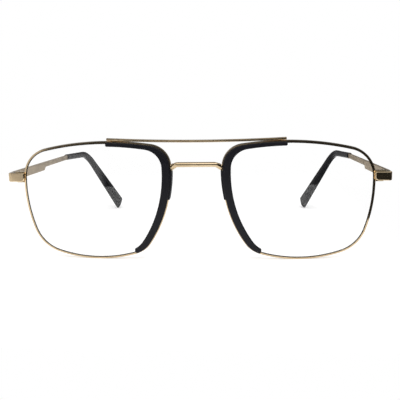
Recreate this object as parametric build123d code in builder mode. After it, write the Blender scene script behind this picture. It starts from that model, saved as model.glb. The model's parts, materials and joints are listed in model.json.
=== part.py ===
from build123d import *
import os
from math import atan2, cos, degrees, radians, sin, sqrt

# Double bridge glasses: full metal rims, a brow bar over a lower bridge, plastic trims with
# nose pads on the nasal side of the rims, and plain three-knuckle hinges.
# Frame: +Z up, the front looks along -Y and the temples run along +Y. The glasses stand on
# Z = 0, on the lower edge of the rims and the ends of the tips. All lengths in millimetres.
# The right-hand pieces, at +X, are modelled and the left-hand ones are their mirror images.

# Front, over all
front_width = 141.0            # outer face to outer face of the end pieces
rim_gap = 18.2                 # between the rims
end_reach = 5.6                # end piece out beyond the rim
tilt_angle = 8.1               # lens planes lean, top forward
wrap_angle = 4.4               # lens planes turn back towards the temples
base_radius = 130.0            # front surface of rims and lenses

# Rim: outer outline as four bulged sides between virtual corners, with rounded corners
rim_height = 45.2
top_nasal_shares = (-0.969, 0.865)
bottom_nasal_shares = (-0.602, -0.871)
bottom_temporal_shares = (0.839, -0.808)
top_temporal_shares = (0.957, 0.757)
nasal_bulge = 4.46
bottom_bulge = 3.89
temporal_bulge = 2.69
top_bulge = 3.9
top_nasal_round = 8.66
bottom_nasal_round = 10.52
bottom_temporal_round = 12.9
top_temporal_round = 11.64
rim_wall = 0.6                 # across the outline
rim_depth = 1.4                # front to back
rim_split = 0.1                # saw cut between the closing blocks

# Lens
lens_thickness = 1.3
lens_bevel = 0.3               # bevelled edge, seated in the groove of the rim
lens_play = 0.03

# Nasal trim: a strip over the front of the rim, and a nose pad behind it
trim_proud = 1.0               # strip thickness before the rim
trim_inset = 0.3               # rim wire left bare outside the strip
trim_end_width = 1.3           # strip over the top and the bottom of the rim
trim_shift = 1.6               # how much wider the strip is on the nasal side
trim_top_reach = 4.7           # upper end from the lens centre, towards the nose
trim_low_reach = 13.1          # lower end from the lens centre
trim_low_angle = 24            # how steeply the strip runs down there
trim_end_round = 0.5
trim_edge = 0.3
pad_high_drop = 11.24          # nose pad, upper and lower end below the top of the rims
pad_low_drop = 21.74
pad_flange = 0.3               # how far it stands out beyond the rim wire
pad_thickness = 1.6
pad_depth = 4.6                # behind the rim
pad_flare = 1.5                # how much it opens towards the back
pad_growth = 1.2               # how much longer it is at the back, at each end
pad_edge = 0.5

# Brow bar
bar_end_reach = 4.9            # end from the lens centre, towards the nose
bar_height = 0.9
bar_depth = 1.4
bar_end_rise = 0.76            # centre of the section above the top of the rims, at the ends
bar_middle_rise = 0.06
bar_end_forward = 0.5          # centre before the front plane, at the ends
bar_middle_forward = 2.0
bar_edge = 0.2

# Lower bridge: a round wire with two feet
bridge_radius = 0.9
bridge_kink_reach = 2.0        # kink from the rim's nasal edge, towards the middle
bridge_foot_reach = 0.6        # foot from there, outwards
bridge_drop = 8.34             # centre line below the top of the rims
bridge_foot_drop = 1.9
bridge_forward = 1.6           # centre line before the front plane
bridge_foot_back = 0.6
bridge_bend = 1.3

# End piece: a flat strip bent back round the corner
plate_height = 3.3
plate_thickness = 1.2
plate_drop = 13.34             # middle of strip, hinge and temple below the top of the rims
plate_back = 2.9               # front face behind the front plane
plate_overlap = 0.4            # inner end over the rim wire
plate_bend = 0.8               # centre line of the bend
plate_upper_corner = 0.7
plate_lower_corner = 1.3
plate_edge = 0.25

# Closing blocks on the outer side of the rim, and the rim screw through them
block_height = 1.95
block_width = 3.2
block_depth = 2.2
block_edge = 0.15
block_taper = 0.6              # lower outer edge of the lower block
lower_block_play = 0.05        # behind the end piece, which only the upper block carries
rim_screw_radius = 0.45
rim_screw_head_radius = 0.75
rim_screw_head_height = 0.5
screw_play = 0.03
slot_width = 0.25
slot_depth = 0.2

# Hinge
hinge_back = 7.5               # butt joint and hinge axis behind the front plane
butt_gap = 0.05
knuckle_radius = 1.1
knuckle_gap = 0.05
middle_knuckle = 1.2
leaf_thickness = 0.65
leaf_play = 0.05               # leaf to barrel
leaf_length = 3.2
hinge_screw_radius = 0.5
hinge_screw_head_radius = 0.95
hinge_screw_head_height = 0.35

# Temple
temple_angle = 2.25            # how much the temples close in towards the back
temple_thickness = 1.2
temple_step = 33.4             # from the butt joint to the step in the lower edge
temple_step_length = 1.3
temple_step_round = 0.8
bar_tail_height = 2.0          # behind the step
temple_straight = 68.5         # from the butt joint to the end of the flat bar
core_thickness = 0.7
core_height = 1.1
core_root = 1.0                # core wire inside the flat bar
core_short = 5.0               # core ends before the end of the tip

# Temple tip: a sleeve over the core wire, bent down and in behind the ear
sleeve_lap = 2.2               # sleeve over the end of the flat bar
bend_run = 26.6                # from the root of the core wire to the bend corner
bend_in = 2.95
bend_drop = 1.0
bend_radius = 11.0
leg_run = 14.6                 # from the bend corner to the end of the tip
leg_in = 14.3
tip_end_z = 1.80               # centre of the tip's end above the table
sleeve_start_height = 2.7
sleeve_start_thickness = 2.2
sleeve_bend_height = 2.9
sleeve_bend_thickness = 2.2
sleeve_leg_height = 3.6
sleeve_leg_thickness = 2.55
sleeve_end_height = 6.4
sleeve_end_thickness = 3.7
sleeve_round_share = 0.38      # rounding of the section, as a share of its thickness
sleeve_end_angle = 28          # the end is cut at a slant, with the outer side longer
sleeve_end_round = 1.1
bend_steps = 7                 # sections round the bend
end_steps = 3                  # sections round the end

overrun = 10.0                 # cutting tools past what they cut

# Places that follow from the sizes above
foremost = bar_middle_forward + bar_depth / 2
rearmost = hinge_back + temple_straight - core_root + bend_run + leg_run + sleeve_end_height / 2
front_y = (foremost - rearmost) / 2
hinge_y = front_y + hinge_back
rim_width = front_width / 2 - end_reach - rim_gap / 2
lens_x = (rim_gap + rim_width) / 2
lens_z = rim_height / 2 * cos(radians(tilt_angle))
top_z = 2 * lens_z
plate_z = top_z - plate_drop
plate_outer_x = front_width / 2
temple_inner_x = plate_outer_x - temple_thickness
hinge_x = temple_inner_x - leaf_thickness - leaf_play - knuckle_radius

lens_u = Vector(1, 0, 0).rotate(Axis.Z, wrap_angle)
lens_n = Vector(0, -1, 0).rotate(Axis.X, tilt_angle).rotate(Axis.Z, wrap_angle)
lens_plane = Plane(origin=(lens_x, front_y, lens_z), x_dir=lens_u, z_dir=lens_n)


def side_circle(start, end, bulge):
    """Centre and radius of the arc that bulges to the right of the way from start to end."""
    chord = end - start
    radius = (chord.length ** 2 / 4 + bulge ** 2) / (2 * bulge)
    outward = Vector(chord.Y, -chord.X).normalized()
    return (start + end) / 2 - outward * (radius - bulge), radius


def corner_centre(before, after, rounding, corner):
    """Centre of the circle that touches two side circles from inside, near their corner."""
    reach = before[1] - rounding
    other_reach = after[1] - rounding
    between = after[0] - before[0]
    along = (reach ** 2 - other_reach ** 2 + between.length ** 2) / (2 * between.length)
    aside = sqrt(reach ** 2 - along ** 2)
    foot = before[0] + between.normalized() * along
    square = Vector(-between.Y, between.X).normalized()
    choices = (foot + square * aside, foot - square * aside)
    return min(choices, key=lambda centre: (centre - corner).length)


def bearing(direction):
    return degrees(atan2(direction.Y, direction.X))


def eye_arcs():
    """Centre, radius, start and sweep of the eight arcs of the rim's outer edge, anticlockwise."""
    shares = (top_nasal_shares, bottom_nasal_shares, bottom_temporal_shares, top_temporal_shares)
    bulges = (nasal_bulge, bottom_bulge, temporal_bulge, top_bulge)
    rounds = (top_nasal_round, bottom_nasal_round, bottom_temporal_round, top_temporal_round)
    corners = [Vector(across * rim_width / 2, up * rim_height / 2) for across, up in shares]
    count = len(corners)
    sides = [side_circle(corners[i], corners[(i + 1) % count], bulges[i]) for i in range(count)]
    centres = [corner_centre(sides[i - 1], sides[i], rounds[i], corners[i]) for i in range(count)]
    arcs = []
    for i, (centre, radius) in enumerate(sides):
        corner_start = bearing(centres[i] - sides[i - 1][0])
        side_start = bearing(centres[i] - centre)
        side_end = bearing(centres[(i + 1) % count] - centre)
        arcs.append((centres[i], rounds[i], corner_start, (side_start - corner_start) % 360))
        arcs.append((centre, radius, side_start, (side_end - side_start) % 360))
    return arcs


def eye_outline(inset=0.0):
    """Face of the eye shape in lens coordinates, drawn in from the outer edge of the rim."""
    with BuildSketch() as eye:
        with BuildLine():
            for centre, radius, start, sweep_angle in eye_arcs():
                CenterArc(centre, radius - inset, start, sweep_angle)
        make_face()
    return eye.sketch


def eye_prism(inset=0.0):
    """Everything straight before and behind the eye shape."""
    with BuildPart() as prism:
        with BuildSketch(lens_plane):
            add(eye_outline(inset))
        extrude(amount=overrun, both=True)
    return prism.part


def curved_slab(face, front, thickness):
    """Prism over a face in lens coordinates, kept between two spheres round the lens centre.

    The front sphere lies `front` before the front of the rim.
    """
    with BuildPart() as slab:
        with BuildSketch(lens_plane):
            add(face)
        extrude(amount=overrun, both=True)
        with Locations(lens_plane.offset(-base_radius)):
            Sphere(base_radius + front, rotation=(90, 0, 0), mode=Mode.INTERSECT)
            Sphere(base_radius + front - thickness, rotation=(90, 0, 0), mode=Mode.SUBTRACT)
    return slab.part


def lens_blank(play):
    """Lens with its bevelled edge, grown by the play."""
    with BuildPart() as blank:
        add(curved_slab(
            eye_outline(rim_wall - lens_bevel - play),
            (lens_thickness - rim_depth) / 2 + play,
            lens_thickness + 2 * play,
        ))
        spherical = blank.faces().filter_by(GeomType.SPHERE)
        chamfer(ShapeList([edge for face in spherical for edge in face.edges()]), lens_bevel)
    return blank.part


# Rim: a band of wire with a groove for the lens, sawn open between the closing blocks
with BuildSketch() as rim_band:
    add(eye_outline())
    add(eye_outline(rim_wall), mode=Mode.SUBTRACT)

with BuildPart() as rim_right:
    add(curved_slab(rim_band.sketch, 0, rim_depth))
    rim_side_x = rim_right.part.bounding_box().max.X
    add(lens_blank(lens_play), mode=Mode.SUBTRACT)
    with Locations((rim_side_x, front_y, plate_z)):
        Box(4 * rim_wall, 2 * overrun, rim_split, mode=Mode.SUBTRACT)

with BuildPart() as lens_right:
    add(lens_blank(0))

# Brow bar: a rectangular section swept along an arc that stands forward in the middle
with BuildPart() as top_bar:
    bar_end_x = lens_x - bar_end_reach
    with BuildLine():
        bar_arc = ThreePointArc(
            (-bar_end_x, front_y - bar_end_forward, top_z + bar_end_rise),
            (0, front_y - bar_middle_forward, top_z + bar_middle_rise),
            (bar_end_x, front_y - bar_end_forward, top_z + bar_end_rise),
        )
    with BuildSketch(Plane(origin=bar_arc @ 0, x_dir=(0, 0, 1), z_dir=bar_arc % 0)) as bar_section:
        Rectangle(bar_height, bar_depth)
        chamfer(bar_section.vertices(), bar_edge)
    sweep(path=bar_arc)
    add(eye_prism(), mode=Mode.SUBTRACT)
    mirror(eye_prism(), about=Plane.YZ, mode=Mode.SUBTRACT)

# Lower bridge: round wire, bent at two kinks, its feet brazed to the nasal sides of the rims
with BuildPart() as lower_bridge:
    bridge_z = top_z - bridge_drop
    foot_x = rim_gap / 2 + bridge_foot_reach
    foot_y = front_y + bridge_foot_back
    foot_z = bridge_z - bridge_foot_drop
    kink_x = rim_gap / 2 - bridge_kink_reach
    kink_y = front_y - bridge_forward
    with BuildLine():
        bridge_path = FilletPolyline(
            (-foot_x, foot_y, foot_z),
            (-kink_x, kink_y, bridge_z),
            (kink_x, kink_y, bridge_z),
            (foot_x, foot_y, foot_z),
            radius=bridge_bend,
        )
    with BuildSketch(Plane(origin=bridge_path @ 0, z_dir=bridge_path % 0)):
        Circle(bridge_radius)
    sweep(path=bridge_path)
    add(eye_prism(), mode=Mode.SUBTRACT)
    mirror(eye_prism(), about=Plane.YZ, mode=Mode.SUBTRACT)

# Nasal trim: strip and flange drawn in lens coordinates, where nasal is towards -X
trim_inner = trim_inset + trim_end_width
top_end_u = -trim_top_reach / cos(radians(wrap_angle))
low_end_u = -trim_low_reach / cos(radians(wrap_angle))
pad_top_v = (lens_z - pad_high_drop) / cos(radians(tilt_angle))
pad_bottom_v = (lens_z - pad_low_drop) / cos(radians(tilt_angle))
pad_middle_v = (pad_top_v + pad_bottom_v) / 2
pad_length = pad_top_v - pad_bottom_v
pad_root = (rim_width / 2) ** 2 / (2 * base_radius) + rim_depth


def pad_band(flange, inner, growth):
    """Band along the nasal side of the rim, from outside the wire to inside it."""
    with BuildSketch() as band:
        add(eye_outline(-flange))
        add(eye_outline(inner), mode=Mode.SUBTRACT)
        with Locations((-rim_width / 2, pad_middle_v)):
            Rectangle(rim_width / 2, pad_length + 2 * growth, mode=Mode.INTERSECT)
    return band.sketch


with BuildSketch() as strip:
    add(eye_outline(trim_inset))
    with Locations((trim_shift, 0)):
        add(eye_outline(trim_inner), mode=Mode.SUBTRACT)
    with Locations((top_end_u, 0)):
        Rectangle(rim_width, rim_height, align=(Align.MIN, Align.MIN), mode=Mode.SUBTRACT)
    with Locations((low_end_u, 0)):
        Rectangle(rim_width, rim_height, align=(Align.MIN, Align.MAX), mode=Mode.SUBTRACT)
    fillet(strip.vertices().group_by(Axis.X)[-1], trim_end_round)
    low_end = strip.edges().filter_by(Axis.Y).sort_by(Axis.Y)[0]
    with Locations(low_end @ 0.5):
        Rectangle(rim_width, rim_height, rotation=-trim_low_angle,
                  align=(Align.MIN, Align.CENTER), mode=Mode.SUBTRACT)
    fillet(strip.vertices().sort_by_distance(low_end @ 0.5)[:2], trim_end_round)

flange_front = trim_proud / 2
flange_depth = flange_front + rim_depth + pad_edge
with BuildPart() as nasal_trim_right:
    add(curved_slab(strip.sketch, trim_proud, trim_proud))
    strip_front = nasal_trim_right.faces().filter_by(GeomType.SPHERE).sort_by(Axis.Y)[0]
    chamfer(strip_front.edges(), trim_edge)
    add(curved_slab(pad_band(pad_flange, trim_inset + pad_flange, 0), flange_front, flange_depth))
    with BuildSketch(lens_plane.offset(-pad_root)):
        add(pad_band(pad_flange, pad_thickness - pad_flange, 0))
    with BuildSketch(lens_plane.offset(-pad_root - pad_depth)):
        with Locations((pad_flare, 0)):
            add(pad_band(pad_flange, pad_thickness - pad_flange, pad_growth))
    loft()
    add(rim_right.part, mode=Mode.SUBTRACT)
    add(lens_blank(lens_play), mode=Mode.SUBTRACT)
    add(lower_bridge.part, mode=Mode.SUBTRACT)
    add(top_bar.part, mode=Mode.SUBTRACT)

# End piece: strip of constant thickness along a bent centre line
plate_inner_x = rim_side_x - plate_overlap
plate_middle_x = plate_outer_x - plate_thickness / 2
plate_middle_y = front_y + plate_back + plate_thickness / 2
with BuildPart() as end_piece_right:
    with BuildSketch(Plane.XY.offset(plate_z - plate_height / 2)):
        with BuildLine():
            FilletPolyline(
                (plate_inner_x, plate_middle_y),
                (plate_middle_x, plate_middle_y),
                (plate_middle_x, hinge_y - butt_gap / 2),
                radius=plate_bend,
            )
        trace(line_width=plate_thickness)
    extrude(amount=plate_height)
    lower_corner, upper_corner = (
        end_piece_right.edges().filter_by(Axis.Y).group_by(Axis.X)[0].sort_by(Axis.Z))
    fillet(lower_corner, plate_lower_corner)
    fillet(upper_corner, plate_upper_corner)
    front_edges = end_piece_right.faces().sort_by(Axis.Y)[0].edges()
    chamfer(front_edges.filter_by(Axis.X), plate_edge)

# Closing blocks: two halves brazed to the rim above and below its saw cut
block_front_y = front_y + plate_back + plate_thickness
block_outer_x = rim_side_x + block_width
block_screw_x = rim_side_x + block_width / 2
block_screw_y = block_front_y + block_depth / 2


def closing_block(bottom, front):
    with BuildPart() as block:
        with BuildSketch(Plane.XY.offset(bottom)):
            with Locations((rim_side_x - rim_wall, front)):
                Rectangle(block_width + rim_wall, block_front_y + block_depth - front,
                          align=(Align.MIN, Align.MIN))
        extrude(amount=block_height)
        chamfer(block.edges().filter_by(Axis.Z).group_by(Axis.X)[-1], block_edge)
        add(eye_prism(), mode=Mode.SUBTRACT)
    return block.part


with BuildPart() as closing_block_upper_right:
    add(closing_block(plate_z + rim_split / 2, block_front_y))
    with Locations((block_screw_x, block_screw_y, plate_z)):
        Cylinder(rim_screw_radius + screw_play, 2 * block_height + rim_split, mode=Mode.SUBTRACT)

with BuildPart() as closing_block_lower_right:
    add(closing_block(plate_z - rim_split / 2 - block_height, block_front_y + lower_block_play))
    bottom_edges = closing_block_lower_right.edges().filter_by(Axis.Y).group_by(Axis.Z)[0]
    chamfer(bottom_edges.sort_by(Axis.X)[-1], block_taper)
    with Locations((block_screw_x, block_screw_y, plate_z)):
        Cylinder(rim_screw_radius + screw_play, 2 * block_height + rim_split, mode=Mode.SUBTRACT)
    with Locations((block_screw_x, block_screw_y, plate_z - rim_split / 2 - block_height)):
        Cylinder(rim_screw_head_radius + screw_play, rim_screw_head_height + screw_play,
                 align=(Align.CENTER, Align.CENTER, Align.MIN), mode=Mode.SUBTRACT)

# Rim screw: head sunk in the lower block, shank up through the upper one
with BuildPart() as rim_screw_right:
    screw_bottom = plate_z - rim_split / 2 - block_height
    with BuildSketch(Plane.XY.offset(screw_bottom)):
        with Locations((block_screw_x, block_screw_y)):
            Circle(rim_screw_head_radius)
    extrude(amount=rim_screw_head_height)
    with BuildSketch(Plane.XY.offset(screw_bottom)):
        with Locations((block_screw_x, block_screw_y)):
            Circle(rim_screw_radius)
    extrude(amount=2 * block_height + rim_split)
    with Locations((block_screw_x, block_screw_y, screw_bottom)):
        Box(2 * rim_screw_head_radius + overrun, slot_width, 2 * slot_depth, mode=Mode.SUBTRACT)

# Hinge: outer knuckles on the end piece, the middle one on the temple
hinge_bottom = plate_z - plate_height / 2
outer_knuckle = (plate_height - middle_knuckle) / 2 - knuckle_gap


def knuckle(bottom, height, side):
    """Barrel round the hinge axis with a neck out to the strip, towards the front or the back."""
    neck_edge = hinge_y + side * butt_gap
    neck_length = temple_inner_x - leaf_thickness / 2 - hinge_x
    with BuildPart() as barrel:
        with BuildSketch(Plane.XY.offset(bottom)):
            with Locations((hinge_x, hinge_y)):
                Circle(knuckle_radius)
            with Locations((hinge_x, neck_edge)):
                Rectangle(neck_length, knuckle_radius - butt_gap,
                          align=(Align.MIN, Align.MIN if side > 0 else Align.MAX))
            with Locations((hinge_x, hinge_y)):
                Circle(hinge_screw_radius + screw_play, mode=Mode.SUBTRACT)
        extrude(amount=height)
    return barrel.part


def leaf(inner_face, thickness):
    """Flat of the hinge on the inner face of a strip, x of the face running from the butt joint."""
    with BuildPart() as flat:
        with BuildSketch(inner_face):
            with Locations((butt_gap, 0)):
                Rectangle(leaf_length, plate_height, align=(Align.MIN, Align.CENTER))
        extrude(amount=thickness)
    return flat.part


arm_plane = Plane(origin=(temple_inner_x, hinge_y, plate_z), x_dir=(0, -1, 0), z_dir=(-1, 0, 0))
with BuildPart() as front_hinge_right:
    add(leaf(arm_plane, leaf_thickness))
    add(knuckle(hinge_bottom, outer_knuckle, -1))
    add(knuckle(hinge_bottom + plate_height - outer_knuckle, outer_knuckle, -1))

with BuildPart() as hinge_screw_right:
    with BuildSketch(Plane.XY.offset(hinge_bottom)):
        with Locations((hinge_x, hinge_y)):
            Circle(hinge_screw_radius)
    extrude(amount=plate_height)
    with BuildSketch(Plane.XY.offset(hinge_bottom + plate_height)):
        with Locations((hinge_x, hinge_y)):
            Circle(hinge_screw_head_radius)
    extrude(amount=hinge_screw_head_height)
    chamfer(hinge_screw_right.faces().sort_by(Axis.Z)[-1].edges(), plate_edge)
    with Locations((hinge_x, hinge_y, hinge_bottom + plate_height + hinge_screw_head_height)):
        Box(slot_width, 2 * hinge_screw_head_radius, 2 * slot_depth, mode=Mode.SUBTRACT)

# Temple: flat bar with a step in its lower edge, and a core wire inside the tip.
# Its plane lies on the inner face: x runs back along the bar, y up, z outwards.
temple_along = Vector(0, 1, 0).rotate(Axis.Z, temple_angle)
temple_out = Vector(1, 0, 0).rotate(Axis.Z, temple_angle)
temple_plane = Plane(origin=(temple_inner_x, hinge_y, plate_z), x_dir=temple_along, z_dir=temple_out)
bar_top = plate_height / 2
bar_tail_bottom = bar_top - bar_tail_height
core_start = temple_plane.from_local_coords(
    Vector(temple_straight - core_root, bar_top - bar_tail_height / 2, temple_thickness / 2))
bend_corner = core_start + Vector(-bend_in, bend_run, -bend_drop)
tip_end = Vector(bend_corner.X - leg_in, bend_corner.Y + leg_run, tip_end_z)
core_direction = (bend_corner - core_start).normalized()
leg_direction = (tip_end - bend_corner).normalized()
bend_normal = leg_direction.cross(core_direction).normalized()
core_end = tip_end - leg_direction * core_short
step_corners = ((temple_step, -bar_top), (temple_step + temple_step_length, bar_tail_bottom))
with BuildPart() as temple_right:
    with BuildSketch(temple_plane) as bar_side:
        with BuildLine():
            Polyline(
                (butt_gap, -bar_top),
                *step_corners,
                (temple_straight, bar_tail_bottom),
                (temple_straight, bar_top),
                (butt_gap, bar_top),
                close=True,
            )
        make_face()
        for corner in step_corners:
            fillet(bar_side.vertices().sort_by_distance(corner)[0], temple_step_round)
    extrude(amount=temple_thickness)
    with BuildLine():
        core_path = FilletPolyline(core_start, bend_corner, core_end, radius=bend_radius)
    with BuildSketch(Plane(origin=core_path @ 0, x_dir=bend_normal, z_dir=core_path % 0)):
        Rectangle(core_thickness, core_height)
    sweep(path=core_path)

with BuildPart() as temple_hinge_right:
    add(leaf(temple_plane, -leaf_thickness))
    add(knuckle(hinge_bottom + outer_knuckle + knuckle_gap, middle_knuckle, 1))

# Tip: rounded sections along the core's path, lofted straight from one to the next
with BuildLine():
    sleeve_line = FilletPolyline(
        core_start - core_direction * (sleeve_lap - core_root), bend_corner, tip_end,
        radius=bend_radius)
start_edge, bend_edge = sleeve_line.edges()[:2]
slant = radians(sleeve_end_angle)
leg_out = (temple_out - leg_direction * temple_out.dot(leg_direction)).normalized()
slant_out = leg_out * cos(slant) + leg_direction * sin(slant)
slant_normal = leg_direction * cos(slant) - leg_out * sin(slant)


def sleeve_section(origin, across, normal, thickness, height):
    with BuildSketch(Plane(origin=origin, x_dir=across, z_dir=normal)) as section:
        RectangleRounded(thickness, height, thickness * sleeve_round_share)
    return section.sketch


with BuildPart() as temple_tip_right:
    add(sleeve_section(
        start_edge @ 0, temple_out, start_edge % 0, sleeve_start_thickness, sleeve_start_height))
    for step in range(bend_steps + 1):
        way = step / bend_steps
        add(sleeve_section(
            bend_edge @ way, temple_out, bend_edge % way,
            sleeve_bend_thickness + (sleeve_leg_thickness - sleeve_bend_thickness) * way,
            sleeve_bend_height + (sleeve_leg_height - sleeve_bend_height) * way,
        ))
    for step in range(end_steps + 1):
        turn = radians(90 * step / end_steps)
        inset = sleeve_end_round * (1 - cos(turn))
        add(sleeve_section(
            tip_end - leg_direction * sleeve_end_round * (1 - sin(turn)), slant_out, slant_normal,
            (sleeve_end_thickness - 2 * inset) / cos(slant),
            sleeve_end_height - 2 * inset,
        ))
    loft(ruled=True)
    add(temple_right.part, mode=Mode.SUBTRACT)

# Both sides, and the two pieces in the middle
right_pieces = {
    "rim": rim_right,
    "lens": lens_right,
    "nasal_trim": nasal_trim_right,
    "end_piece": end_piece_right,
    "closing_block_upper": closing_block_upper_right,
    "closing_block_lower": closing_block_lower_right,
    "rim_screw": rim_screw_right,
    "front_hinge": front_hinge_right,
    "hinge_screw": hinge_screw_right,
    "temple": temple_right,
    "temple_hinge": temple_hinge_right,
    "temple_tip": temple_tip_right,
}
os.makedirs("parts", exist_ok=True)
for name, right_piece in right_pieces.items():
    with BuildPart() as left_piece:
        mirror(right_piece.part, about=Plane.YZ)
    right_piece.part.label = name + "_right"
    left_piece.part.label = name + "_left"
    export_step(right_piece.part, f"parts/{name}_right.step")
    export_step(left_piece.part, f"parts/{name}_left.step")

top_bar.part.label = "top_bar"
export_step(top_bar.part, "parts/top_bar.step")
lower_bridge.part.label = "lower_bridge"
export_step(lower_bridge.part, "parts/lower_bridge.step")
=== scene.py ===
import json
from math import cos, radians, sin, tan

import bmesh
import bpy
from mathutils import Matrix, Vector, noise


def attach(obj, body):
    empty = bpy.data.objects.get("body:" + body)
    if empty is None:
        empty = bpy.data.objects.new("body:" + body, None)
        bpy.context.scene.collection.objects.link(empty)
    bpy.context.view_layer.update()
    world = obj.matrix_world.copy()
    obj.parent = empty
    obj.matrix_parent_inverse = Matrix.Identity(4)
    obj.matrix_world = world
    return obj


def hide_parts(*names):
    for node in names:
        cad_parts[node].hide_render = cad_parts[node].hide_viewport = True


MM = 0.001
WELD_DISTANCE = 0.002 * MM
EVEN = (1.0, 1.0, 1.0)

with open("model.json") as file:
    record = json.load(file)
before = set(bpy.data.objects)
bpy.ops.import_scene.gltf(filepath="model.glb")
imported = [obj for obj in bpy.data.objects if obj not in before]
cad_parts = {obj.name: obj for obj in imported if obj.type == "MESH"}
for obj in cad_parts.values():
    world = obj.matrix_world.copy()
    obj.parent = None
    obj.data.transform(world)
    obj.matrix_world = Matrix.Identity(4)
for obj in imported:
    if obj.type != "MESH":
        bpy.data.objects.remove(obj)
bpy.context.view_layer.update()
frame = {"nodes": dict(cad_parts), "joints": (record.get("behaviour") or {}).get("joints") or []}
NODES = frame["nodes"]
SIDES = {"left": -1, "right": 1}

# Places that the pieces made here share with the CAD part: the hinge axis and the front plane
HINGE_BACK = 7.5 * MM
HINGE = Vector(next(j for j in frame["joints"] if j["name"] == "temple_right_fold")["pos_m"])
FRONT_Y = HINGE.y - HINGE_BACK


# Node helpers

def new_tree(name):
    """A new material and its emptied node tree."""
    material = bpy.data.materials.new(name)
    material.use_nodes = True
    tree = material.node_tree
    tree.nodes.clear()
    return material, tree


def add(tree, kind, inputs=None, **settings):
    """Adds a node, sets its properties, and fills or links its inputs by name or number."""
    node = tree.nodes.new(kind)
    for key, value in settings.items():
        setattr(node, key, value)
    for key, value in (inputs or {}).items():
        if isinstance(value, bpy.types.NodeSocket):
            tree.links.new(value, node.inputs[key])
        else:
            node.inputs[key].default_value = value
    return node


def ramp(tree, factor, stops):
    """A colour ramp from (position, colour) stops."""
    node = add(tree, "ShaderNodeValToRGB", {"Fac": factor})
    elements = node.color_ramp.elements
    while len(elements) < len(stops):
        elements.new(0.5)
    for element, (position, colour) in zip(elements, stops):
        element.position = position
        element.color = (*colour, 1.0)
    return node.outputs["Color"]


def span(tree, value, low, high, to_low, to_high, smooth=False):
    """Maps value from one range to another, clamped."""
    node = add(tree, "ShaderNodeMapRange", {"Value": value}, clamp=True)
    node.interpolation_type = "SMOOTHSTEP" if smooth else "LINEAR"
    for key, number in zip(("From Min", "From Max", "To Min", "To Max"), (low, high, to_low, to_high)):
        node.inputs[key].default_value = number
    return node.outputs["Result"]


def maths(tree, operation, *values):
    """A Math node's result; each value is a socket or a number."""
    node = tree.nodes.new("ShaderNodeMath")
    node.operation = operation
    for socket, value in zip(node.inputs, values):
        if isinstance(value, bpy.types.NodeSocket):
            tree.links.new(value, socket)
        else:
            socket.default_value = value
    return node.outputs[0]


def noise_map(tree, density, detail, roughness=0.6, stretch=EVEN):
    """Noise on object coordinates; stretch gives the density along each axis."""
    place = add(tree, "ShaderNodeTexCoord").outputs["Object"]
    mapped = add(tree, "ShaderNodeMapping", {"Vector": place, "Scale": stretch}).outputs["Vector"]
    inputs = {"Vector": mapped, "Scale": density, "Detail": detail, "Roughness": roughness}
    return add(tree, "ShaderNodeTexNoise", inputs).outputs["Fac"]


def finish_material(tree, shader):
    add(tree, "ShaderNodeOutputMaterial", {"Surface": shader})


# Materials

GOLD_LIGHT = (0.74, 0.585, 0.38)
GOLD_DARK = (0.57, 0.43, 0.265)
SATIN_LIGHT = (0.57, 0.465, 0.335)
SATIN_DARK = (0.44, 0.35, 0.245)
SCREW_LIGHT = (0.78, 0.69, 0.54)
SCREW_DARK = (0.62, 0.52, 0.38)
TRIM_BLACK = (0.0045, 0.0045, 0.0075)
TRIM_WORN = (0.006, 0.006, 0.010)
TIP_BLACK = (0.004, 0.004, 0.006)
TIP_WORN = (0.006, 0.006, 0.008)
LENS_IOR = 1.45

# Light and dark tint, range of roughness, grain density, grain depth and the grain's stretch
METALS = {
    "drawn_gold": (GOLD_LIGHT, GOLD_DARK, (0.10, 0.16), 700.0, 0.002 * MM, EVEN),
    "plate_gold": (GOLD_LIGHT, GOLD_DARK, (0.09, 0.15), 500.0, 0.004 * MM, (1.0, 1.0, 9.0)),
    "satin_gold": (SATIN_LIGHT, SATIN_DARK, (0.32, 0.46), 900.0, 0.02 * MM, (6.0, 0.15, 6.0)),
    "screw_metal_fine": (SCREW_LIGHT, SCREW_DARK, (0.16, 0.30), 900.0, 0.01 * MM, EVEN),
}
# Tint, tint where it is worn, range of roughness, grain density, grain depth and specular level
PLASTICS = {
    "charcoal_trim": (TRIM_BLACK, TRIM_WORN, (0.45, 0.56), 2600.0, 0.02 * MM, 0.24),
    "gloss_tip": (TIP_BLACK, TIP_WORN, (0.10, 0.16), 500.0, 0.0005 * MM, 0.09),
}


def grained_shader(tree, tint, rough, grain, strength, depth, more):
    """The surface of a metal or plastic, with its grain as bump; more holds its other inputs."""
    bump = add(tree, "ShaderNodeBump", {"Height": grain, "Strength": strength, "Distance": depth})
    inputs = {"Base Color": tint, "Roughness": rough, "Normal": bump.outputs["Normal"], **more}
    shader = add(tree, "ShaderNodeBsdfPrincipled", inputs)
    finish_material(tree, shader.outputs["BSDF"])


def metal(name, light, dark, rough_range, density, depth, stretch):
    """Plated metal: its tint drifts slowly, and a fine drawn or brushed grain varies its gloss."""
    material, tree = new_tree(name)
    drift = noise_map(tree, density=90.0, detail=3.0)
    fine = noise_map(tree, density, detail=5.0, roughness=0.7, stretch=stretch)
    tint = ramp(tree, drift, [(0.30, dark), (0.62, light)])
    rough = span(tree, fine, 0.25, 0.75, *rough_range)
    grained_shader(tree, tint, rough, fine, 0.5, depth, {"Metallic": 1.0})
    return material


def plastic(name, colour, worn, rough_range, density, depth, specular):
    """Dark plastic: moulding grain in the surface, and paler where it is rubbed."""
    material, tree = new_tree(name)
    drift = noise_map(tree, density=130.0, detail=4.0)
    fine = noise_map(tree, density, detail=5.0, roughness=0.65)
    tint = ramp(tree, drift, [(0.35, colour), (0.75, worn)])
    rough = span(tree, drift, 0.3, 0.7, *rough_range)
    grained_shader(tree, tint, rough, fine, 0.4, depth, {"Specular IOR Level": specular})
    return material


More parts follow.
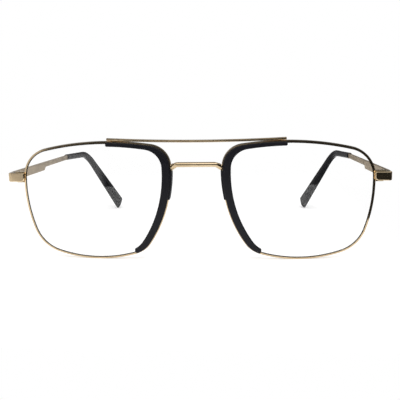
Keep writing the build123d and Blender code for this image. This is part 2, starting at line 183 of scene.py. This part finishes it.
def lens_material():
    """Clear moulded lens: it mirrors and bends light, and lets the lamps through to what is behind."""
    material, tree = new_tree("clear_lens")
    film = noise_map(tree, density=60.0, detail=2.0)
    rough = span(tree, film, 0.3, 0.8, 0.0, 0.012)
    inputs = {
        "Base Color": (1.0, 1.0, 1.0, 1.0),
        "Roughness": rough,
        "IOR": LENS_IOR,
        "Transmission Weight": 1.0,
    }
    glass = add(tree, "ShaderNodeBsdfPrincipled", inputs).outputs["BSDF"]
    through = add(tree, "ShaderNodeBsdfTransparent").outputs["BSDF"]
    path = add(tree, "ShaderNodeLightPath").outputs
    veil = maths(tree, "MAXIMUM", path["Is Shadow Ray"], path["Is Diffuse Ray"])
    mix = add(tree, "ShaderNodeMixShader", {0: veil, 1: glass, 2: through})
    finish_material(tree, mix.outputs["Shader"])
    return material


MATERIALS = {name: metal(name, *values) for name, values in METALS.items()}
MATERIALS.update({name: plastic(name, *values) for name, values in PLASTICS.items()})
MATERIALS["clear_lens"] = lens_material()

KINDS_OF_MATERIAL = {
    "drawn_gold": ("rim", "top_bar", "lower_bridge"),
    "plate_gold": ("end_piece", "closing_block_upper", "closing_block_lower", "front_hinge", "temple_hinge"),
    "satin_gold": ("temple",),
    "screw_metal_fine": ("rim_screw", "hinge_screw"),
    "charcoal_trim": ("nasal_trim",),
    "gloss_tip": ("temple_tip",),
    "clear_lens": ("lens",),
}
MATERIAL_OF = {kind: MATERIALS[name] for name, kinds in KINDS_OF_MATERIAL.items() for kind in kinds}


def kind_of(name):
    """A node's name without its side."""
    for side in ("_left", "_right"):
        if name.endswith(side):
            return name[: -len(side)]
    return name


for name, node in NODES.items():
    for slot in node.material_slots:
        slot.material = MATERIAL_OF[kind_of(name)]


# Pieces made here

def body_of_node(name):
    if name.startswith("temple"):
        return "temple_left" if name.endswith("_left") else "temple_right"
    return "front"


def link_object(name, data):
    """A new object in the scene."""
    thing = bpy.data.objects.new(name, data)
    bpy.context.scene.collection.objects.link(thing)
    return thing


def welded_copy(name):
    """A CAD node's mesh as a bmesh, with the facets' shared corners joined."""
    bm = bmesh.new()
    bm.from_mesh(NODES[name].data)
    bmesh.ops.remove_doubles(bm, verts=bm.verts, dist=WELD_DISTANCE)
    return bm


def close_rings(bm, rings):
    """Faces between neighbouring rings of vertices, and one over each end."""
    count = len(rings[0])
    for near, far in zip(rings, rings[1:]):
        for i in range(count):
            j = (i + 1) % count
            bm.faces.new((near[i], near[j], far[j], far[i]))
    bm.faces.new(rings[0])
    bm.faces.new(rings[-1])


def new_piece(name, bm, material, body, sharp=50):
    """Turns a bmesh into a piece that rides on a body; edges sharper than the angle stay crisp."""
    bmesh.ops.recalc_face_normals(bm, faces=bm.faces)
    for face in bm.faces:
        face.smooth = True
    for edge in bm.edges:
        edge.smooth = len(edge.link_faces) == 2 and edge.calc_face_angle() < radians(sharp)
    mesh = bpy.data.meshes.new(name)
    bm.to_mesh(mesh)
    bm.free()
    mesh.materials.append(material)
    piece = link_object(name, mesh)
    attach(piece, body)
    return piece


FLAT_ANGLE = radians(0.6)
SHARP_ANGLE = radians(32)
BEVEL_SEGMENTS = 2


def edge_rounded(name, width):
    """A copy of a CAD node with its sharp edges rounded; it stands for the node."""
    bm = welded_copy(name)
    bmesh.ops.dissolve_limit(bm, angle_limit=FLAT_ANGLE, verts=bm.verts, edges=bm.edges)
    sharp = [e for e in bm.edges if len(e.link_faces) == 2 and e.calc_face_angle() > SHARP_ANGLE]
    bmesh.ops.bevel(
        bm,
        geom=sharp,
        offset=width,
        offset_type="OFFSET",
        segments=BEVEL_SEGMENTS,
        profile=0.5,
        affect="EDGES",
        clamp_overlap=True,
    )
    piece = new_piece(name + "_finished", bm, MATERIAL_OF[kind_of(name)], body_of_node(name))
    normals = piece.modifiers.new("even_normals", "WEIGHTED_NORMAL")
    normals.keep_sharp = True
    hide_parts(name)
    return piece


# Temple tips: the same sleeve as the CAD one, with a smooth bend and a rounded slanted end
TIP_ROOT = Vector((67.2495, 74.9716, 32.059)) * MM
TIP_BEND = Vector((64.2995, 101.5716, 31.059)) * MM
TIP_END = Vector((49.9995, 116.1646, 1.82)) * MM
TIP_LAP = 1.2 * MM
TIP_BEND_RADIUS = 11.0 * MM
TEMPLE_ANGLE = radians(2.25)
# Thickness and height in mm at the start, where the bend starts and ends, and at the end
TIP_SECTIONS = ((2.2, 2.7), (2.2, 2.9), (2.55, 3.6), (3.7, 6.4))
TIP_ROUND_SHARE = 0.38
TIP_SLANT = radians(28)
TIP_END_ROUND = 1.1 * MM
BEND_STEPS = 28
RUN_STEPS = 8
DOME_STEPS = 8
CORNER_STEPS = 6


def rounded_ring(bm, origin, across, normal, thickness, height, rounding):
    """A ring of vertices on a rounded rectangle."""
    across = (across - normal * across.dot(normal)).normalized()
    up = normal.cross(across)
    ring = []
    for turn, (side, end) in enumerate(((1, 1), (-1, 1), (-1, -1), (1, -1))):
        centre = (side * (thickness / 2 - rounding), end * (height / 2 - rounding))
        for step in range(CORNER_STEPS + 1):
            angle = radians(90) * (turn + step / CORNER_STEPS)
            x = centre[0] + rounding * cos(angle)
            y = centre[1] + rounding * sin(angle)
            ring.append(bm.verts.new(origin + across * x + up * y))
    return ring


def mixed(first, second, way):
    """The tuple that lies a share of the way from the first to the second."""
    return tuple(a + (b - a) * way for a, b in zip(first, second))


def tip_sections():
    """Origin, across, normal, thickness and height of each section of the right-hand tip."""
    front = Vector((0.0, FRONT_Y, 0.0))
    root, bend, end = (point + front for point in (TIP_ROOT, TIP_BEND, TIP_END))
    out = Vector((cos(TEMPLE_ANGLE), sin(TEMPLE_ANGLE), 0.0))
    along = (bend - root).normalized()
    leg = (end - bend).normalized()
    start = root - along * TIP_LAP
    turn = along.angle(leg)
    tangent = TIP_BEND_RADIUS * tan(turn / 2)
    centre = bend - along * tangent + (leg - along * leg.dot(along)).normalized() * TIP_BEND_RADIUS
    spoke = bend - along * tangent - centre
    axis = spoke.cross(along).normalized()
    sizes = [(a * MM, b * MM) for a, b in TIP_SECTIONS]
    bend_start = bend - along * tangent
    for step in range(RUN_STEPS):
        way = step / RUN_STEPS
        yield start.lerp(bend_start, way), out, along, *mixed(sizes[0], sizes[1], way)
    for step in range(BEND_STEPS):
        way = step / BEND_STEPS
        spin = Matrix.Rotation(turn * way, 3, axis)
        yield centre + spin @ spoke, out, spin @ along, *mixed(sizes[1], sizes[2], way)
    leg_start = bend + leg * tangent
    leg_out = (out - leg * out.dot(leg)).normalized()
    slant_out = leg_out * cos(TIP_SLANT) + leg * sin(TIP_SLANT)
    slant_normal = leg * cos(TIP_SLANT) - leg_out * sin(TIP_SLANT)
    dome_start = end - leg * TIP_END_ROUND
    for step in range(RUN_STEPS):
        way = step / RUN_STEPS
        across = out.lerp(slant_out, way)
        normal = leg.lerp(slant_normal, way).normalized()
        thickness, height = mixed(sizes[2], sizes[3], way)
        yield leg_start.lerp(dome_start, way), across, normal, thickness / normal.dot(leg), height
    for step in range(DOME_STEPS + 1):
        angle = radians(90) * step / DOME_STEPS
        inset = TIP_END_ROUND * (1 - cos(angle))
        origin = end - leg * TIP_END_ROUND * (1 - sin(angle))
        thickness, height = (size - 2 * inset for size in sizes[3])
        yield origin, slant_out, slant_normal, thickness / cos(TIP_SLANT), height


def temple_tip(side):
    """A temple's tip sleeve, swept along its bend."""
    bm = bmesh.new()
    rings = []
    for origin, across, normal, thickness, height in tip_sections():
        rounding = min(thickness, height) * TIP_ROUND_SHARE
        rings.append(rounded_ring(bm, origin, across, normal, thickness, height, rounding))
    close_rings(bm, rings)
    if SIDES[side] < 0:
        bmesh.ops.scale(bm, vec=(-1, 1, 1), verts=bm.verts)
    gloss = MATERIALS["gloss_tip"]
    piece = new_piece(f"temple_tip_{side}_moulded", bm, gloss, f"temple_{side}", 60)
    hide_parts(f"temple_tip_{side}")


# Inner side of the rim wire, seen through the edge of the lens
LIP_WIDTH = 0.24 * MM
LIP_DEPTH = 0.62 * MM
LIP_LAP = 0.05 * MM
BASE_RADIUS = 130.0 * MM
LENS_X = 37.0 * MM
LENS_TILT = radians(8.1)
LENS_WRAP = radians(4.4)
LENS_Z = 22.6 * MM * cos(LENS_TILT)
# An edge of the rim lies on the base sphere, between a front face and a wall that looks at the lens
SPHERE_TOLERANCE = 0.012 * MM
WALL_MOST_FRONTAL = -0.6
WALL_LEAST_INWARD = 0.3


def rim_inner_line(bm, centre, bulge):
    """Points in order along the inner front edge of a rim, each with the rim's front normal there."""
    links = {}
    for edge in bm.edges:
        if any(abs((vert.co - bulge).length - BASE_RADIUS) > SPHERE_TOLERANCE for vert in edge.verts):
            continue
        _front, wall = sorted(edge.link_faces, key=lambda face: face.normal.y)
        middle = (edge.verts[0].co + edge.verts[1].co) / 2
        inward = Vector((centre.x - middle.x, 0.0, centre.z - middle.z)).normalized()
        if wall.normal.y > WALL_MOST_FRONTAL and wall.normal.dot(inward) > WALL_LEAST_INWARD:
            for vert in edge.verts:
                links.setdefault(vert, []).append(edge.other_vert(vert))
    ends = [vert for vert, found in links.items() if len(found) == 1]
    vert = min(ends, key=lambda v: v.co.z)
    line, seen = [], set()
    while vert is not None:
        seen.add(vert)
        line.append((vert.co.copy(), (vert.co - bulge).normalized()))
        vert = next((other for other in links[vert] if other not in seen), None)
    return line


def rim_lip(side):
    """A thin strip inside a rim, slanting back under the edge of the lens."""
    source = welded_copy(f"rim_{side}")
    centre = Vector((SIDES[side] * LENS_X, FRONT_Y, LENS_Z))
    facing = Vector((
        SIDES[side] * cos(LENS_TILT) * sin(LENS_WRAP),
        -cos(LENS_TILT) * cos(LENS_WRAP),
        -sin(LENS_TILT),
    ))
    bulge = centre - facing * BASE_RADIUS
    line = rim_inner_line(source, centre, bulge)
    source.free()
    bm = bmesh.new()
    rings = []
    for i, (point, normal) in enumerate(line):
        ahead = line[min(i + 1, len(line) - 1)][0] - line[max(i - 1, 0)][0]
        inward = ahead.cross(normal).normalized()
        if inward.dot(centre - point) < 0:
            inward = -inward
        section = (
            point - inward * LIP_LAP - normal * LIP_LAP,
            point + inward * LIP_WIDTH - normal * LIP_DEPTH,
            point - inward * LIP_LAP - normal * (LIP_DEPTH + LIP_LAP),
        )
        rings.append([bm.verts.new(corner) for corner in section])
    close_rings(bm, rings)
    new_piece(f"rim_lip_{side}", bm, MATERIALS["drawn_gold"], "front", 35)


# Braze beads, where the wires were joined with the torch: places and half sizes in mm on the right side
BEADS = (
    ((26.6, -0.95, 44.75), (0.4, 0.3, 0.24)),
    ((30.6, -0.75, 44.86), (0.5, 0.3, 0.22)),
    ((9.15, -0.35, 35.4), (0.5, 0.6, 0.95)),
    ((8.3, -0.9, 36.2), (0.6, 0.55, 0.6)),
)
BEAD_LUMP = 0.12
BEAD_LUMP_DENSITY = 1.7
BEAD_LUMP_SHIFT = 900


def braze_beads():
    """Lumpy beads of braze on both sides, as one piece."""
    bm = bmesh.new()
    for (x, y, z), size in BEADS:
        for sign in SIDES.values():
            centre = Vector((sign * x * MM, FRONT_Y + y * MM, z * MM))
            made = bmesh.ops.create_icosphere(bm, subdivisions=3, radius=1.0)["verts"]
            for vert in made:
                place = vert.co * BEAD_LUMP_DENSITY + centre * BEAD_LUMP_SHIFT
                lump = 1.0 + BEAD_LUMP * noise.noise(place)
                vert.co = centre + Vector(c * r * MM * lump for c, r in zip(vert.co, size))
    new_piece("braze_beads", bm, MATERIALS["drawn_gold"], "front", 80)


# Kinds with rounded edges on both sides: their slot and the width of the rounding
ROUNDED_KINDS = {
    "end_piece": ("gold_metal", 0.07 * MM),
    "closing_block_upper": ("gold_metal", 0.07 * MM),
    "closing_block_lower": ("gold_metal", 0.07 * MM),
    "front_hinge": ("gold_metal", 0.07 * MM),
    "temple_hinge": ("gold_metal", 0.07 * MM),
    "temple": ("gold_metal", 0.07 * MM),
    "rim_screw": ("screw_metal", 0.04 * MM),
    "hinge_screw": ("screw_metal", 0.04 * MM),
}
BAR_ROUNDING = 0.06 * MM

for side in SIDES:
    temple_tip(side)
    rim_lip(side)
    for kind, (slot, width) in ROUNDED_KINDS.items():
        edge_rounded(f"{kind}_{side}", width)
edge_rounded("top_bar", BAR_ROUNDING)
braze_beads()


# Setting: floor, surroundings, lamp

FLOOR_FRONT = FRONT_Y - 0.081
FLOOR_BACK = 0.20
FLOOR_LEFT = -0.32
FLOOR_RIGHT = 0.082
PAPER_DARK = (0.80, 0.80, 0.80)
PAPER_LIGHT = (0.84, 0.84, 0.84)
PAPER_GLOW = 0.34

# World levels: for diffuse light, for the camera, and for what is seen through the lenses
EVEN_LIGHT = 0.80
CAMERA_WHITE = 1.0
LENS_WHITE = 1.07

# The room that reflected rays find. A place is its turn from the front towards +X and its height over
# the horizon, each as (lowest, highest, softness) in degrees, or None for no limit. A turn beyond 180
# has no end at that side.
FRONT_WALL = ((-17, 122, 4), (-80, 27, 4))
FRONT_GAP = ((-12, 0, 3), (-5, -3.2, 1))
FRONT_GAP_SHARE = 0.6
# Turn, height and how dark: left of the front wall, left wall, ceiling, wall behind, low corner behind
DARK_PLACES = (
    ((-42, -17, 4), (-4.5, 27, 1.5), 1.0),
    ((-140, -46, 6), None, 0.25),
    (None, (65, 90, 4), 0.86),
    ((140, 200, 15), (-30, 30, 8), 0.66),
    ((-200, -140, 15), (-30, 30, 8), 0.66),
    ((150, 200, 10), (4, 34, 4), 0.9),
    ((-200, -166, 6), (4, 34, 4), 0.9),
)
DARKEST = 0.022
SOFTBOX_IMAGE = ((-30, 45, 5), (33, 57, 2))
SOFTBOX_IMAGE_LEVEL = 1.2

LAMP_SIZE = (0.42, 0.30)
LAMP_WATTS = 1.6
LAMP_AIM = Vector((0.0, -0.03, 0.03))
LAMP_OFFSET = Vector((0.05, -0.48, 0.52))


def floor_sheet():
    """The sheet of paper under the glasses."""
    mesh = bpy.data.meshes.new("floor_sheet")
    bm = bmesh.new()
    corners = (
        (FLOOR_LEFT, FLOOR_FRONT),
        (FLOOR_RIGHT, FLOOR_FRONT),
        (FLOOR_RIGHT, FLOOR_BACK),
        (FLOOR_LEFT, FLOOR_BACK),
    )
    bm.faces.new([bm.verts.new((x, y, 0.0)) for x, y in corners])
    bm.to_mesh(mesh)
    bm.free()
    sheet = link_object("floor_sheet", mesh)
    material, tree = new_tree("white_paper")
    fibre = noise_map(tree, density=240.0, detail=5.0)
    paper = ramp(tree, fibre, [(0.3, PAPER_DARK), (0.7, PAPER_LIGHT)])
    matte = add(tree, "ShaderNodeBsdfDiffuse", {"Color": paper})
    path = add(tree, "ShaderNodeLightPath").outputs
    seen = maths(tree, "MAXIMUM", path["Is Camera Ray"], path["Is Glossy Ray"])
    seen = maths(tree, "MAXIMUM", seen, path["Is Transmission Ray"])
    glow = add(tree, "ShaderNodeEmission", {"Strength": maths(tree, "MULTIPLY", seen, PAPER_GLOW)})
    both = add(tree, "ShaderNodeAddShader", {0: matte.outputs["BSDF"], 1: glow.outputs["Emission"]})
    finish_material(tree, both.outputs["Shader"])
    mesh.materials.append(material)


def surroundings():
    """White for the camera, even light for the surfaces, and a room with dark places for reflections."""
    world = bpy.data.worlds.new("studio")
    world.use_nodes = True
    bpy.context.scene.world = world
    tree = world.node_tree
    tree.nodes.clear()
    ray = add(tree, "ShaderNodeTexCoord").outputs["Generated"]
    parts = add(tree, "ShaderNodeSeparateXYZ", {"Vector": ray}).outputs
    height = maths(tree, "ARCSINE", parts["Z"])
    turn = maths(tree, "ARCTAN2", parts["X"], maths(tree, "MULTIPLY", parts["Y"], -1.0))

    def between(value, low, high, soft):
        """1 between two angles in degrees, falling off over soft degrees outside them."""
        up = span(tree, value, radians(low - soft), radians(low), 0.0, 1.0, True)
        down = span(tree, value, radians(high), radians(high + soft), 1.0, 0.0, True)
        return maths(tree, "MULTIPLY", up, down)

    def place(turns, heights):
        """1 inside a place of the room."""
        limits = [between(angle, *limit) for angle, limit in ((turn, turns), (height, heights)) if limit]
        return maths(tree, "MULTIPLY", *limits) if len(limits) == 2 else limits[0]

    dark = place(*FRONT_WALL)
    gap = maths(tree, "MULTIPLY", place(*FRONT_GAP), dark)
    dark = maths(tree, "MULTIPLY_ADD", gap, -FRONT_GAP_SHARE, dark)
    for turns, heights, share in DARK_PLACES:
        patch = maths(tree, "MULTIPLY", place(turns, heights), share)
        dark = maths(tree, "MAXIMUM", dark, patch)
    room = span(tree, dark, 0.0, 1.0, 1.0, DARKEST)
    mirrored = maths(tree, "MULTIPLY_ADD", place(*SOFTBOX_IMAGE), SOFTBOX_IMAGE_LEVEL, room)
    path = add(tree, "ShaderNodeLightPath").outputs
    seen = maths(tree, "MAXIMUM", path["Is Camera Ray"], path["Is Transmission Ray"])
    reflected = maths(tree, "GREATER_THAN", path["Glossy Depth"], 0.5)
    white = span(tree, path["Is Transmission Ray"], 0.0, 1.0, CAMERA_WHITE, LENS_WHITE)
    direct = add(tree, "ShaderNodeMix", {0: seen, 2: EVEN_LIGHT, 3: white}, data_type="FLOAT")
    level = add(tree, "ShaderNodeMix", {0: reflected, 2: direct.outputs[0], 3: mirrored}, data_type="FLOAT")
    back = add(tree, "ShaderNodeBackground", {"Color": (1.0, 1.0, 1.0, 1.0), "Strength": level.outputs[0]})
    add(tree, "ShaderNodeOutputWorld", {"Surface": back.outputs["Background"]})


def soft_lamp():
    """A softbox in front of and above the glasses; reflections find its image in the surroundings."""
    data = bpy.data.lights.new("softbox", "AREA")
    data.shape = "RECTANGLE"
    data.size, data.size_y = LAMP_SIZE
    data.energy = LAMP_WATTS
    lamp = link_object("softbox", data)
    lamp.visible_glossy = False
    facing = LAMP_OFFSET.to_track_quat("Z", "Y").to_matrix().to_4x4()
    lamp.matrix_world = Matrix.Translation(LAMP_AIM + LAMP_OFFSET) @ facing


# Camera: fitted to the photograph

CAMERA_PLACE = Vector((0.0146, FRONT_Y - 0.2247, 0.0607))
CAMERA_YAW = radians(3.41)
CAMERA_PITCH = radians(-9.43)
CAMERA_ROLL = radians(0.66)
SENSOR_WIDTH_MM = 36.0
FOCAL_IN_WIDTHS = 629.0 / 400.0
CLIP_START = 0.01


def photograph_camera():
    """The camera at the photograph's place."""
    data = bpy.data.cameras.new("camera")
    data.sensor_width = SENSOR_WIDTH_MM
    data.lens = SENSOR_WIDTH_MM * FOCAL_IN_WIDTHS
    data.clip_start = CLIP_START
    camera = link_object("camera", data)
    turned = (
        Matrix.Rotation(CAMERA_YAW, 4, "Z")
        @ Matrix.Rotation(CAMERA_PITCH, 4, "X")
        @ Matrix.Rotation(CAMERA_ROLL, 4, "Y")
        @ Matrix.Rotation(radians(90), 4, "X")
    )
    camera.matrix_world = Matrix.Translation(CAMERA_PLACE) @ turned
    bpy.context.scene.camera = camera


floor_sheet()
surroundings()
soft_lamp()
photograph_camera()
bpy.context.scene.view_settings.view_transform = "Standard"
